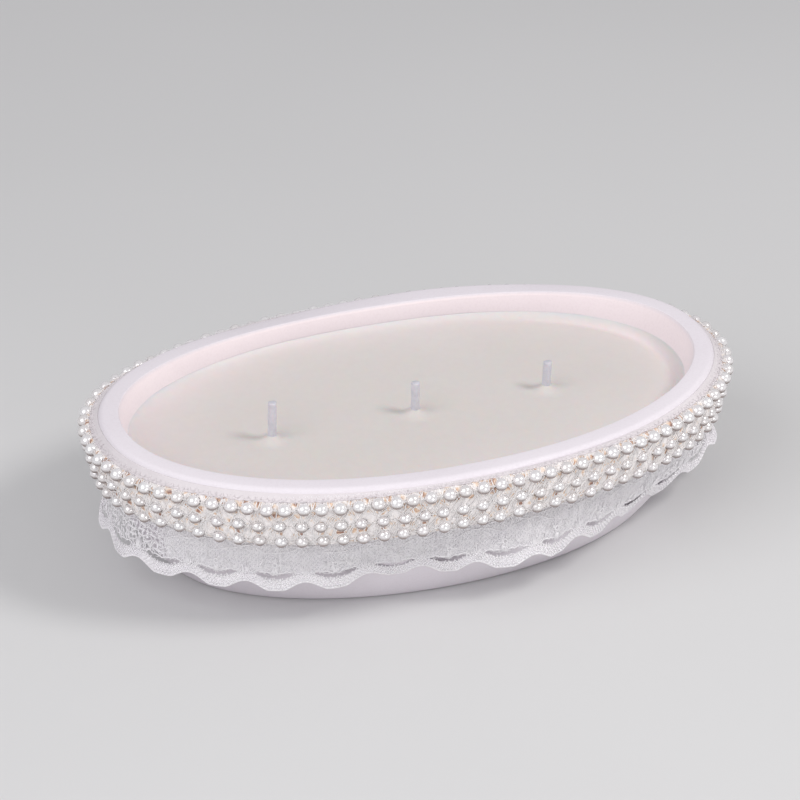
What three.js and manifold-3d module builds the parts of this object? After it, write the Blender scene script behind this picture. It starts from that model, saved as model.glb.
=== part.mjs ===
// A three-wick unity candle: wax poured in an oval cast bowl, with a ribbon of lace and
// three rows of pearls round it. Millimetres, +Z up, the bowl standing on z = 0.
import * as THREE from 'three';
import { mergeVertices } from 'three/addons/utils/BufferGeometryUtils.js';
import Module from 'manifold-3d';

const wasm = await Module();
wasm.setup();

// ---- Driving dimensions ----
const GAP = 0.3;                      // left between touching pieces

const BOWL_HEIGHT = 60;               // mean height of the rim
const RIM_HALF_LENGTH = 120.9;
const RIM_HALF_WIDTH = 71.5;
const RIM_POWER = 2.14;               // superellipse powers: the rim is a little squarer than the base
const BASE_POWER = 2.0;
const BASE_INSET_X = 24;              // how far the wall tucks in from the rim to the base
const BASE_INSET_Y = 18;
const WALL_CURVE = 2.1;               // power of the tuck: upright at the rim, raked at the base
const RIM_SADDLE = 1.5;               // the rim stands this much higher at its two ends
const RIM_ROUNDING = 3.2;
const RIM_WIDTH = 7.4;
const RIM_EDGE = 0.7;                 // small radius at the rim's inner edge
const FOOT_EDGE = 1.2;
const FLOOR_HEIGHT = 8;
const WALL_LEVELS = [8, 18, 29, 40, 50];  // heights at which the outside of the wall is drawn
const VESSEL_STATIONS = 60;           // places round the oval at which bowl and wax are drawn

const WAX_LEVEL = 50.2;
const MENISCUS_RISE = 0.7;
const MENISCUS_WIDTH = 3;
const MOUND_RADIUS = 5.6;
const MOUND_HEIGHT = 2.6;
const MOUND_SHOULDER = { radius: 0.75, height: 0.4 };  // shares of the mound's own radius and height
const MOUND_CROWN = 0.55;             // radius of the mound's flat top, as a share of its own
const MOUND_ROOT = 2;                 // how deep the mound reaches into the wax that it joins

const WICK_RADIUS = 1.7;
const WICK_Y = -8.5;                  // the wicks stand a little in front of the long axis
const WICKS = [
  { side: 'left', x: -58.4, tip: 13.5 },
  { side: 'centre', x: -1.4, tip: 10.9 },
  { side: 'right', x: 51.9, tip: 9.5 },
];
const STICKER_RADIUS = 9.5;
const STICKER_THICKNESS = 0.8;
const TAB_RADIUS = 10;
const TAB_THICKNESS = 0.4;
const COLLAR_WALL = 0.4;
const COLLAR_HEIGHT = 6;
const TURNED_SIDES = 16;              // sides of the wicks and of what is turned about them

const LACE_THICKNESS = 0.5;
const LACE_TOP = 57;                  // height of the ribbon's upper edge
const LACE_HEM = 15.5;                // height of the scallops' tips
const SCALLOP_DEPTH = 4;
const SCALLOPS = 28;
const SCALLOP_PHASE = 0.5;            // where the first scallop starts, as a share of one scallop
const HEM_POWER = 0.7;                // below 1 rounds the hem's valleys and broadens its tips
const LACE_FREE_BELOW = 37;           // below this height nothing holds the lace to the wall
const LACE_LEVELS = [LACE_TOP, 45, LACE_FREE_BELOW, 29];  // where the lace is drawn above its hem
const LACE_CLING = 0.4;               // how closely the free lace follows the wall, mostly
const LACE_HANGING_END = { angle: Math.PI, width: 0.8 };             // hangs straight down here
const LACE_CLOSE_FRONT = { angle: -Math.PI / 6, width: 0.7, cling: 0.5 };  // lies closest here

const TAPE_THICKNESS = 0.4;
const TAPE_TOP = 57.4;
const TAPE_BOTTOM = 36.8;
const TAPE_STATIONS = 72;

const THREAD_RADIUS = 0.5;
const PEARL_CROWN = 0.55;             // half the length of a pearl's full width, in its radii
const STRAND_SIDES = 5;
const PEARL_ROWS = [
  { row: 'top', height: 54.1, radius: 2.5, count: 96 },
  { row: 'middle', height: 46.6, radius: 2.25, count: 84 },
  { row: 'bottom', height: 39.8, radius: 2.3, count: 84 },
];

const MERGE_DISTANCE = 1e-4;          // points closer than this are one point

// ---- Materials ----
const MATERIALS = {
  bowl: { color: 0xeadfe6, roughness: 0.85, metalness: 0 },
  wax: { color: 0xe0d6cc, roughness: 0.55, metalness: 0 },
  wick: { color: 0xd2cdd6, roughness: 0.7, metalness: 0 },
  tab: { color: 0xb8b9bd, roughness: 0.35, metalness: 1 },
  sticker: { color: 0xf2f2ee, roughness: 0.8, metalness: 0 },
  lace: { color: 0xf1eef1, roughness: 0.9, metalness: 0 },
  tape: { color: 0xece0d2, roughness: 0.9, metalness: 0 },
  pearl: { color: 0xf3efec, roughness: 0.2, metalness: 0 },
};

// ---- The bowl's outline ----
// Share of the whole tuck that the wall has made at a height.
function tuck(height) {
  return Math.max(0, 1 - height / BOWL_HEIGHT) ** WALL_CURVE;
}

function signedPower(value, power) {
  return Math.sign(value) * Math.abs(value) ** power;
}

// A point of the oval outline at a height, grown outwards by offset. inset is the share of the tuck.
function ovalPoint(angle, height, offset, inset = tuck(height)) {
  const a = RIM_HALF_LENGTH - BASE_INSET_X * inset + offset;
  const b = RIM_HALF_WIDTH - BASE_INSET_Y * inset + offset;
  const power = BASE_POWER + (RIM_POWER - BASE_POWER) * (1 - inset);
  const x = a * signedPower(Math.cos(angle), 2 / power);
  const y = b * signedPower(Math.sin(angle), 2 / power);
  return new THREE.Vector3(x, y, height);
}

// The rim's outline as a closed curve, so that places along it can be spaced evenly.
class RimOutline extends THREE.Curve {
  getPoint(t, target = new THREE.Vector3()) {
    return target.copy(ovalPoint(2 * Math.PI * t, BOWL_HEIGHT, 0));
  }
}

const rimOutline = new RimOutline();
rimOutline.arcLengthDivisions = 2000;

// Angles that cut the outline into equal lengths. shares are fractions of the way round.
function angleAt(share) {
  return 2 * Math.PI * rimOutline.getUtoTmapping(share - Math.floor(share));
}

function evenAngles(count) {
  return Array.from({ length: count }, (_, i) => angleAt(i / count));
}

// ---- Closed meshes from rings of points ----
function buildGeometry(points, triangles) {
  const geometry = new THREE.BufferGeometry();
  const positions = points.flatMap((p) => [p.x, p.y, p.z]);
  geometry.setAttribute('position', new THREE.Float32BufferAttribute(positions, 3));
  geometry.setIndex(facingOut(points, triangles).flat());
  geometry.computeVertexNormals();
  return geometry;
}

// Turns the triangles over where the volume they enclose is negative.
function facingOut(points, triangles) {
  const volume = triangles.reduce((sum, [a, b, c]) => {
    return sum + points[a].dot(points[b].clone().cross(points[c]));
  }, 0);
  return volume < 0 ? triangles.map(([a, b, c]) => [a, c, b]) : triangles;
}

// Joins each ring to the next. Both loops close where asked.
function weave(ringCount, ringSize, wrapRings) {
  const triangles = [];
  for (let i = 0; i < (wrapRings ? ringCount : ringCount - 1); i++) {
    for (let j = 0; j < ringSize; j++) {
      const next = (i + 1) % ringCount;
      const k = (j + 1) % ringSize;
      const [a, b] = [i * ringSize + j, i * ringSize + k];
      const [c, d] = [next * ringSize + k, next * ringSize + j];
      triangles.push([a, b, c], [a, c, d]);
    }
  }
  return triangles;
}

// A solid stacked from rings, with its first and last rings filled in.
function stackedSolid(rings) {
  const size = rings[0].length;
  const points = rings.flat();
  const triangles = weave(rings.length, size, false);
  const centre = (ring) => {
    const sum = ring.reduce((total, p) => total.add(p), new THREE.Vector3());
    return sum.divideScalar(ring.length);
  };
  const first = points.push(centre(rings[0])) - 1;
  const last = points.push(centre(rings[rings.length - 1])) - 1;
  const lastStart = (rings.length - 1) * size;
  for (let j = 0; j < size; j++) {
    const k = (j + 1) % size;
    triangles.push([first, k, j], [last, lastStart + j, lastStart + k]);
  }
  return buildGeometry(points, triangles);
}

// A solid that runs right round the bowl, from its cross-section at each station.
function hoopSolid(sections) {
  return buildGeometry(sections.flat(), weave(sections.length, sections[0].length, true));
}

// ---- Booleans ----
function toSolid(geometry) {
  const bare = geometry.clone();
  bare.deleteAttribute('normal');
  bare.deleteAttribute('uv');
  const merged = mergeVertices(bare, MERGE_DISTANCE);
  const vertProperties = new Float32Array(merged.attributes.position.array);
  const triVerts = new Uint32Array(merged.index.array);
  return new wasm.Manifold(new wasm.Mesh({ numProp: 3, vertProperties, triVerts }));
}

function fromSolid(solid) {
  const mesh = solid.getMesh();
  const geometry = new THREE.BufferGeometry();
  geometry.setAttribute('position', new THREE.BufferAttribute(mesh.vertProperties, 3));
  geometry.setIndex(new THREE.BufferAttribute(mesh.triVerts, 1));
  geometry.computeVertexNormals();
  return geometry;
}

// ---- Scene graph helpers ----
const candle = new THREE.Group();

function addPiece(name, geometry, look, parent = candle) {
  const mesh = new THREE.Mesh(geometry, new THREE.MeshStandardMaterial(MATERIALS[look]));
  mesh.name = name;
  parent.add(mesh);
  return mesh;
}

// ---- Bowl ----
const VESSEL_ANGLES = evenAngles(VESSEL_STATIONS);

// Wall thickness of the bowl at each height of its inside, from the wax line down to the floor.
const INSIDE = [
  [WAX_LEVEL, 10.7],
  [40, 11.4],
  [30, 12],
  [20, 13.2],
  [12.5, 14.7],
  [9.2, 18],
  [FLOOR_HEIGHT, 23],
];

function saddled(point, angle) {
  point.z += RIM_SADDLE * Math.cos(2 * angle) * (point.z / BOWL_HEIGHT) ** 2;
  return point;
}

function bowlGeometry() {
  const quarter = (steps) => Array.from({ length: steps + 1 }, (_, i) => (i / steps) * Math.PI / 2);
  const foot = quarter(1).map((t) => [FOOT_EDGE * (1 - Math.cos(t)), -FOOT_EDGE * (1 - Math.sin(t))]);
  const wall = WALL_LEVELS.map((height) => [height, 0]);
  const shoulder = quarter(3).map((t) => [
    BOWL_HEIGHT - RIM_ROUNDING * (1 - Math.sin(t)),
    -RIM_ROUNDING * (1 - Math.cos(t)),
  ]);
  const lip = quarter(2).map((t) => [
    BOWL_HEIGHT - RIM_EDGE * (1 - Math.cos(t)),
    -RIM_WIDTH + RIM_EDGE * (1 - Math.sin(t)),
  ]);
  const inside = INSIDE.map(([height, thickness]) => [height, -thickness]);
  const profile = [...foot, ...wall, ...shoulder, ...lip, ...inside];
  return stackedSolid(profile.map(([height, offset]) => {
    return VESSEL_ANGLES.map((angle) => saddled(ovalPoint(angle, height, offset), angle));
  }));
}

addPiece('bowl', bowlGeometry(), 'bowl');

// ---- Wax ----
// The round hollow that each wick, its metal tab and its sticker leave in the wax.
function wickHollow() {
  const stackTop = FLOOR_HEIGHT + GAP + STICKER_THICKNESS + GAP + TAB_THICKNESS + GAP;
  const tabRadius = TAB_RADIUS + GAP;
  const collarRadius = WICK_RADIUS + 2 * GAP + COLLAR_WALL;
  const collarTop = stackTop + COLLAR_HEIGHT;
  const outline = [
    [0, 0],
    [tabRadius, 0],
    [tabRadius, stackTop],
    [collarRadius, stackTop],
    [collarRadius, collarTop],
    [WICK_RADIUS + GAP, collarTop],
    [WICK_RADIUS + GAP, BOWL_HEIGHT],
    [0, BOWL_HEIGHT],
  ];
  return lathe(outline);
}

// Turns an outline about the vertical axis.
function lathe(outline) {
  const points = outline.map(([r, h]) => new THREE.Vector2(r, h));
  return new THREE.LatheGeometry(points, TURNED_SIDES).rotateX(Math.PI / 2);
}

// The little cone of wax that climbs each wick.
function moundGeometry() {
  return lathe([
    [0, WAX_LEVEL - MOUND_ROOT],
    [MOUND_RADIUS, WAX_LEVEL - MOUND_ROOT],
    [MOUND_RADIUS, WAX_LEVEL],
    [MOUND_SHOULDER.radius * MOUND_RADIUS, WAX_LEVEL + MOUND_SHOULDER.height * MOUND_HEIGHT],
    [MOUND_CROWN * MOUND_RADIUS, WAX_LEVEL + MOUND_HEIGHT],
    [0, WAX_LEVEL + MOUND_HEIGHT],
  ]);
}

function waxGeometry() {
  const lift = (height) => (height === FLOOR_HEIGHT ? GAP : 0);
  const sides = INSIDE.toReversed().map(([height, thickness]) => [height + lift(height), -thickness - GAP]);
  const edge = [WAX_LEVEL + MENISCUS_RISE, -INSIDE[0][1] - GAP];
  const level = [WAX_LEVEL, -INSIDE[0][1] - GAP - MENISCUS_WIDTH];
  const rings = [...sides, edge, level].map(([height, offset]) => {
    return VESSEL_ANGLES.map((angle) => ovalPoint(angle, height, offset));
  });
  let wax = toSolid(stackedSolid(rings));
  for (const wick of WICKS) {
    wax = wax.add(toSolid(moundGeometry().translate(wick.x, WICK_Y, 0)));
  }
  for (const wick of WICKS) {
    wax = wax.subtract(toSolid(wickHollow().translate(wick.x, WICK_Y, 0)));
  }
  return fromSolid(wax);
}

addPiece('wax_fill', waxGeometry(), 'wax');

// ---- Wicks, each in the collar of a metal tab that is stuck to the floor ----
function tabGeometry() {
  const bore = WICK_RADIUS + GAP;
  const top = TAB_THICKNESS + COLLAR_HEIGHT;
  return lathe([
    [bore, 0],
    [TAB_RADIUS, 0],
    [TAB_RADIUS, TAB_THICKNESS],
    [bore + COLLAR_WALL, TAB_THICKNESS],
    [bore + COLLAR_WALL, top],
    [bore, top],
    [bore, 0],
  ]);
}

for (const { side, x, tip } of WICKS) {
  const station = new THREE.Group();
  station.position.set(x, WICK_Y, FLOOR_HEIGHT + GAP);
  candle.add(station);

  const sticker = new THREE.CylinderGeometry(STICKER_RADIUS, STICKER_RADIUS, STICKER_THICKNESS, TURNED_SIDES);
  sticker.rotateX(Math.PI / 2).translate(0, 0, STICKER_THICKNESS / 2);
  addPiece(`wick_sticker_${side}`, sticker, 'sticker', station);

  const tab = addPiece(`wick_tab_${side}`, tabGeometry(), 'tab', station);
  tab.position.z = STICKER_THICKNESS + GAP;

  const length = WAX_LEVEL + MOUND_HEIGHT + tip - (FLOOR_HEIGHT + 2 * GAP + STICKER_THICKNESS);
  const wickShape = new THREE.CylinderGeometry(WICK_RADIUS, WICK_RADIUS, length, TURNED_SIDES);
  wickShape.rotateX(Math.PI / 2).translate(0, 0, length / 2);
  const wick = addPiece(`wick_${side}`, wickShape, 'wick', station);
  wick.position.z = STICKER_THICKNESS + GAP;
}

// ---- Lace ribbon ----
// How closely the loose lower part follows the wall: 0 hangs straight down, 1 lies on the wall.
// It hangs free at the -X end, and lies closest along the front of the +X end.
function cling(angle) {
  const towards = (place) => Math.max(0, 1 - (1 - Math.cos(angle - place.angle)) / place.width);
  const hanging = towards(LACE_HANGING_END);
  const close = towards(LACE_CLOSE_FRONT);
  return LACE_CLING * (1 - hanging) + LACE_CLOSE_FRONT.cling * close;
}

function laceInset(angle, height) {
  const held = tuck(Math.max(height, LACE_FREE_BELOW));
  return held + cling(angle) * (tuck(height) - held);
}

// Height of the scalloped hem, from rounded valleys down to broad tips.
function hemHeight(share) {
  const wave = 0.5 + 0.5 * Math.cos(2 * Math.PI * (share * SCALLOPS - SCALLOP_PHASE));
  return LACE_HEM + SCALLOP_DEPTH * (1 - wave ** HEM_POWER);
}

function laceGeometry() {
  const stations = SCALLOPS * 4;
  const sections = Array.from({ length: stations }, (_, i) => {
    const share = (i + SCALLOP_PHASE * stations / SCALLOPS) / stations;
    const angle = angleAt(share);
    const heights = [...LACE_LEVELS, hemHeight(share)];
    const side = (offset) => heights.map((height) => {
      return ovalPoint(angle, height, offset, laceInset(angle, height));
    });
    return [...side(GAP + LACE_THICKNESS), ...side(GAP).reverse()];
  });
  return hoopSolid(sections);
}

addPiece('lace_ribbon', laceGeometry(), 'lace');

// ---- Net tape that carries the pearls ----
const TAPE_OFFSET = GAP + LACE_THICKNESS + GAP;

function tapeGeometry() {
  const heights = [TAPE_TOP, (TAPE_TOP + TAPE_BOTTOM) / 2, TAPE_BOTTOM];
  return hoopSolid(evenAngles(TAPE_STATIONS).map((angle) => {
    const side = (offset) => heights.map((height) => ovalPoint(angle, height, offset));
    return [...side(TAPE_OFFSET + TAPE_THICKNESS), ...side(TAPE_OFFSET).reverse()];
  }));
}

addPiece('pearl_tape', tapeGeometry(), 'tape');

// ---- Pearl strands: each a closed loop of pearls on one thread ----
// The strand's cross-section, with its first corner pointing straight out.
function strandSection(share, height, standOff, radius) {
  const angle = angleAt(share);
  const centre = ovalPoint(angle, height, standOff);
  const outwards = ovalPoint(angle, height, standOff + 1).sub(centre).normalize();
  return Array.from({ length: STRAND_SIDES }, (_, i) => {
    const turn = (2 * Math.PI * i) / STRAND_SIDES;
    const point = centre.clone().addScaledVector(outwards, radius * Math.cos(turn));
    point.z += radius * Math.sin(turn);
    return point;
  });
}

for (const { row, height, radius, count } of PEARL_ROWS) {
  const standOff = TAPE_OFFSET + TAPE_THICKNESS + GAP + radius;
  const pitch = rimOutline.getLength() / count;
  const shoulder = (PEARL_CROWN * radius) / pitch;
  const sections = [];
  for (let i = 0; i < count; i++) {
    sections.push(strandSection((i - shoulder) / count, height, standOff, radius));
    sections.push(strandSection((i + shoulder) / count, height, standOff, radius));
    sections.push(strandSection((i + 0.5) / count, height, standOff, THREAD_RADIUS));
  }
  addPiece(`pearl_strand_${row}`, hoopSolid(sections), 'pearl');
}

export default candle;
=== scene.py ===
"""The looks of a three-wick unity candle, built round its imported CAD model.

An oval cast bowl holds wax and three wicks. A lace ribbon hangs round it from just under the rim,
and over the ribbon lies a net tape with three rows of pearls. Everything is in metres.
"""
import math

import bpy
import numpy as np
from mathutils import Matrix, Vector


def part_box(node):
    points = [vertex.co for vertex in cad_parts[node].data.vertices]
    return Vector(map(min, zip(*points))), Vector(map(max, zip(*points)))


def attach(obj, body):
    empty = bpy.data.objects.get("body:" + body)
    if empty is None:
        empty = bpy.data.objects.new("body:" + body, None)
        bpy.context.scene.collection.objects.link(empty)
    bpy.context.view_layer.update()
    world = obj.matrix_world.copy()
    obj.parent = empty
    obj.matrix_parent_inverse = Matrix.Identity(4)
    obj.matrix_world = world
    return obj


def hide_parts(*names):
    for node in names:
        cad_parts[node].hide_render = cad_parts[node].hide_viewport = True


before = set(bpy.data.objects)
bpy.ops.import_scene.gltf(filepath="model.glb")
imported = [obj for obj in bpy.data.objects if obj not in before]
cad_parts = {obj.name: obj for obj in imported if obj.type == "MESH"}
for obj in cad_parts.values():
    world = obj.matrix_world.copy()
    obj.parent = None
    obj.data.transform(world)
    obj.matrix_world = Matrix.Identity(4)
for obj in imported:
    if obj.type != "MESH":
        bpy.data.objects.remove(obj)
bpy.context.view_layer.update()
rng = np.random.default_rng(7)

MM = 0.001

# ---------------------------------------------------------------- driving sizes, from the frame
BOWL_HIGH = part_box("bowl")[1]
WAX_LOW, WAX_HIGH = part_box("wax_fill")
LACE_LOW, LACE_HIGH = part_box("lace_ribbon")
TAPE_LOW, TAPE_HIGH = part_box("pearl_tape")

RIM_SADDLE = 1.5 * MM                 # the rim stands this much higher at its two ends
RIM_Z = BOWL_HIGH.z - RIM_SADDLE
RIM_X, RIM_Y = BOWL_HIGH.x, BOWL_HIGH.y
RIM_POWER, BASE_POWER = 2.14, 2.0     # superellipse powers of the outline
TUCK_X, TUCK_Y = 24 * MM, 18 * MM     # how far the wall tucks in from the rim to the base
WALL_CURVE = 2.1
RIM_WIDTH = 7.9 * MM
FLOOR_Z = WAX_LOW.z - 0.3 * MM

MOUND_HEIGHT = 2.6 * MM
WAX_Z = WAX_HIGH.z - MOUND_HEIGHT
WICK_SIDES = ("left", "centre", "right")
WICK_LEANS = (math.radians(1.2), math.radians(0.6), math.radians(3.0))

LACE_TOP, LACE_HEM = LACE_HIGH.z, LACE_LOW.z
LACE_FREE_Z = TAPE_LOW.z              # nothing holds the lace to the wall below the tape
LACE_OFFSET = 0.55 * MM
TULLE_LIFT = -0.16 * MM               # the tulle lies just behind its threads
HOLE_SIZE = 0.3                       # cells of the torn tulle are open above this, from 0 to 1
SCALLOPS = 28
SCALLOP_DEPTH = 4 * MM
TAPE_OFFSET = 1.3 * MM

PEARL_ROWS = (("top", 96), ("middle", 84), ("bottom", 84))


# ---------------------------------------------------------------- the bowl's outline
def tuck(z):
    """Share of the wall's whole tuck that is made at height z."""
    return np.clip(1 - z / RIM_Z, 0, 1) ** WALL_CURVE


def oval(angle, z, offset=0.0, inset=None):
    """Points of the bowl's outline at height z, grown outwards by offset."""
    angle, z, offset = np.broadcast_arrays(angle, z, offset)
    inset = tuck(z) if inset is None else inset
    a = RIM_X - TUCK_X * inset + offset
    b = RIM_Y - TUCK_Y * inset + offset
    power = 2 / (BASE_POWER + (RIM_POWER - BASE_POWER) * (1 - inset))
    c, s = np.cos(angle), np.sin(angle)
    x = a * np.sign(c) * np.abs(c) ** power
    y = b * np.sign(s) * np.abs(s) ** power
    return np.stack([x, y, z + 0 * x], axis=-1)


_table_angles = np.linspace(0, 2 * math.pi, 4001)
_table_points = oval(_table_angles, RIM_Z)
_table_lengths = np.concatenate([[0], np.cumsum(np.linalg.norm(np.diff(_table_points, axis=0), axis=1))])
RIM_LENGTH = _table_lengths[-1]


def angle_at(share):
    """The angle at a share of the way round the rim, from +X towards +Y."""
    share = np.asarray(share, float)
    turns = np.floor(share)
    return np.interp(share - turns, _table_lengths / RIM_LENGTH, _table_angles) + 2 * math.pi * turns


def outwards(points):
    """Level unit vectors pointing away from the bowl at points near its outline."""
    normal = points * np.array([1 / RIM_X ** 2, 1 / RIM_Y ** 2, 0])
    return normal / np.linalg.norm(normal, axis=-1, keepdims=True)


# ---------------------------------------------------------------- mesh building
def grid_faces(rows, columns, wrap_rows=False):
    """Quads over a grid of points stored row by row, whose columns close into a ring."""
    i = np.arange(rows if wrap_rows else rows - 1)[:, None]
    j = np.arange(columns)[None, :]
    i2, j2 = (i + 1) % rows, (j + 1) % columns
    quads = np.stack([i * columns + j, i * columns + j2, i2 * columns + j2, i2 * columns + j], axis=-1)
    return quads.reshape(-1, 4)


class Build:
    """Collects points and faces, then makes them one object."""

    def __init__(self):
        self.points, self.faces, self.slots, self.count = [], [], [], 0
        self.tones = []

    def add(self, points, faces, slot=0, tone=0.0):
        points = np.asarray(points, float).reshape(-1, 3)
        self.tones.append(np.broadcast_to(np.ravel(tone), len(points)))
        faces = [np.asarray(f) + self.count for f in faces] if isinstance(faces, list) else faces + self.count
        self.points.append(points)
        self.faces.extend(f.tolist() for f in faces)
        self.slots.extend([slot] * len(faces))
        self.count += len(points)

    def object(self, name, *materials):
        mesh = bpy.data.meshes.new(name)
        mesh.from_pydata(np.concatenate(self.points).tolist(), [], self.faces)
        for material in materials:
            mesh.materials.append(material)
        mesh.polygons.foreach_set("material_index", self.slots)
        mesh.polygons.foreach_set("use_smooth", [True] * len(mesh.polygons))
        mesh.attributes.new("tone", "FLOAT", "POINT").data.foreach_set("value", np.concatenate(self.tones))
        mesh.update()
        piece = bpy.data.objects.new(name, mesh)
        bpy.context.scene.collection.objects.link(piece)
        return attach(piece, "root")

    def close(self, first, around, flip=False):
        """Caps the ring of points that starts at first."""
        ring = first + np.arange(around)
        self.faces.append((ring[::-1] if flip else ring).tolist())
        self.slots.append(0)

    def tubes(self, centres, normals, radius, sides=3, closed=False, flat=1.0, slot=0, tone=0.0):
        """Round threads along many paths of equal length: centres is (paths, steps, 3).
        flat squeezes the section along the normal."""
        centres = np.asarray(centres, float)
        paths, steps, _ = centres.shape
        if closed:
            tangent = np.roll(centres, -1, axis=1) - np.roll(centres, 1, axis=1)
        else:
            tangent = np.gradient(centres, axis=1)
        tangent /= np.linalg.norm(tangent, axis=-1, keepdims=True) + 1e-12
        side = np.cross(tangent, normals)
        side /= np.linalg.norm(side, axis=-1, keepdims=True) + 1e-12
        up = np.cross(side, tangent)
        turn = 2 * math.pi * (np.arange(sides) + 0.25) / sides
        radius = np.broadcast_to(radius, (paths, steps))[..., None, None]
        ring = side[:, :, None] * np.cos(turn)[:, None] + flat * up[:, :, None] * np.sin(turn)[:, None]
        points = centres[:, :, None] + radius * ring
        one = grid_faces(steps, sides, wrap_rows=closed)
        offsets = np.arange(paths)[:, None, None] * steps * sides
        self.add(points, (one[None] + offsets).reshape(-1, 4), slot, tone)
        if not closed:
            base = self.count - paths * steps * sides
            start = np.arange(sides)[::-1]
            end = (steps - 1) * sides + np.arange(sides)
            caps = np.concatenate([start[None] + offsets[:, 0], end[None] + offsets[:, 0]]) + base
            self.faces.extend(caps.tolist())
            self.slots.extend([slot] * len(caps))


# ---------------------------------------------------------------- materials
class Nodes:
    """A node material with a Principled shader, and short calls for what feeds it."""

    def __init__(self, name, **sockets):
        self.material = bpy.data.materials.new(name)
        self.material.use_nodes = True
        self.tree = self.material.node_tree
        self.shader = self.tree.nodes["Principled BSDF"]
        self.place = self.node("ShaderNodeTexCoord").outputs["Object"]
        for socket, value in sockets.items():
            self.shader.inputs[socket.replace("_", " ")].default_value = value

    def node(self, kind, **settings):
        node = self.tree.nodes.new(kind)
        for key, value in settings.items():
            if key in node.inputs:
                node.inputs[key].default_value = value
            else:
                setattr(node, key, value)
        return node

    def link(self, output, target):
        self.tree.links.new(output, target)
        return target

    def noise(self, scale, detail=3.0, roughness=0.5):
        noise = self.node("ShaderNodeTexNoise", Scale=scale, Detail=detail, Roughness=roughness)
        self.link(self.place, noise.inputs["Vector"])
        return noise.outputs["Fac"]

    def ramp(self, factor, *stops):
        """A colour ramp through (place, colour) stops."""
        node = self.node("ShaderNodeValToRGB")
        elements = node.color_ramp.elements
        while len(elements) < len(stops):
            elements.new(0.5)
        for element, (place, colour) in zip(elements, stops):
            element.position = place
            element.color = (*colour, 1)
        self.link(factor, node.inputs["Fac"])
        return node.outputs["Color"]

    def spread(self, factor, low, high):
        """Maps 0..1 to low..high."""
        node = self.node("ShaderNodeMapRange")
        node.inputs["To Min"].default_value = low
        node.inputs["To Max"].default_value = high
        self.link(factor, node.inputs["Value"])
        return node.outputs["Result"]

    def tone(self):
        return self.node("ShaderNodeAttribute", attribute_name="tone").outputs["Fac"]

    def mix(self, factor, a, b, blend="MIX"):
        node = self.node("ShaderNodeMix", data_type="RGBA", blend_type=blend)
        for socket, value in ((node.inputs[0], factor), (node.inputs[6], a), (node.inputs[7], b)):
            if isinstance(value, bpy.types.NodeSocket):
                self.link(value, socket)
            else:
                socket.default_value = value if isinstance(value, float) else (*value, 1)
        return node.outputs[2]

    def bumps(self, *layers):
        """Stacks bumps, each (height output, depth in metres)."""
        normal = None
        for height, depth in layers:
            bump = self.node("ShaderNodeBump", Strength=1.0, Distance=depth)
            self.link(height, bump.inputs["Height"])
            if normal is not None:
                self.link(normal, bump.inputs["Normal"])
            normal = bump.outputs["Normal"]
        self.link(normal, self.shader.inputs["Normal"])

    def colour(self, output):
        self.link(output, self.shader.inputs["Base Color"])

    def rough(self, output):
        self.link(output, self.shader.inputs["Roughness"])


def cast_bowl_material():
    """Matte cast plaster, smooth with a chalky bloom. The tone runs from the greyer foot, 0, over the
    lilac white rim, 0.3, to the pinker inside: 0.6 at the two ends and 1 along the back. The grey
    foot and the darker back are painted shade, the light pink inner ends painted light."""
    m = Nodes("cast_plaster", Roughness=0.75, Specular_IOR_Level=0.3)
    cloud, grain = m.noise(18, 4), m.noise(1100, 3, 0.6)
    tint = m.ramp(m.tone(), (0.0, (0.745, 0.703, 0.745)), (0.3, (0.848, 0.801, 0.845)),
                  (0.6, (0.975, 0.878, 0.892)), (1.0, (0.708, 0.632, 0.655)))
    patches = m.ramp(cloud, (0.3, (0.955, 0.950, 0.957)), (0.7, (1, 1, 1)))
    speck = m.ramp(grain, (0.36, (0.95, 0.94, 0.94)), (0.52, (1, 1, 1)))
    m.colour(m.mix(0.5, m.mix(1.0, tint, patches, "MULTIPLY"), speck, "MULTIPLY"))
    m.rough(m.spread(cloud, 0.62, 0.82))
    m.bumps((grain, 0.00002), (cloud, 0.0003))
    return m.material


def wax_material():
    """Ivory soy wax: milky, satin, faintly frosted, with painted light, pinker and brighter, where it climbs
    the wall and at its two ends.
    """
    m = Nodes("ivory_wax", Roughness=0.5, Specular_IOR_Level=0.4, Subsurface_Weight=0.3,
              Subsurface_Scale=0.003)
    cloud, frost = m.noise(14, 5, 0.55), m.noise(260, 4, 0.6)
    flat = m.ramp(cloud, (0.3, (0.705, 0.660, 0.630)), (0.72, (0.730, 0.690, 0.665)))
    # Painted light: a pinker, brighter wax colour, laid on by the tone where the wax climbs the wall and at
    # the ends.
    painted_lip_glow = m.ramp(cloud, (0.3, (0.860, 0.760, 0.765)), (0.72, (0.880, 0.785, 0.790)))
    tint = m.mix(m.tone(), flat, painted_lip_glow)
    m.colour(m.mix(0.5, tint, m.ramp(frost, (0.35, (0.96, 0.96, 0.96)), (0.65, (1, 1, 1))), "MULTIPLY"))
    m.rough(m.spread(frost, 0.42, 0.6))
    m.bumps((cloud, 0.0003), (frost, 0.00003))
    return m.material


def tape_material():
    """Cream woven ground of the tape. The tone darkens it to peach, and reddish where it is near 1; in the
    gaps between the pearls this is painted shade.
    """
    m = Nodes("cream_tape", Roughness=0.85, Specular_IOR_Level=0.15)
    spots, fibre = m.noise(330, 2, 0.5), m.noise(2600, 2, 0.6)
    spots_and_painted_shade = m.node("ShaderNodeMath", operation="SUBTRACT")
    m.link(spots, spots_and_painted_shade.inputs[0])
    m.link(m.spread(m.tone(), 0.0, 0.30), spots_and_painted_shade.inputs[1])
    tint = m.ramp(spots_and_painted_shade.outputs["Value"], (0.25, (0.42, 0.25, 0.20)), (0.33, (0.82, 0.60, 0.45)),
                  (0.42, (0.92, 0.82, 0.74)), (0.49, (0.97, 0.93, 0.92)))
    m.colour(m.mix(0.5, tint, m.ramp(fibre, (0.3, (0.90, 0.90, 0.90)), (0.6, (1, 1, 1))), "MULTIPLY"))
    m.bumps((fibre, 0.00008))
    return m.material


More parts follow.
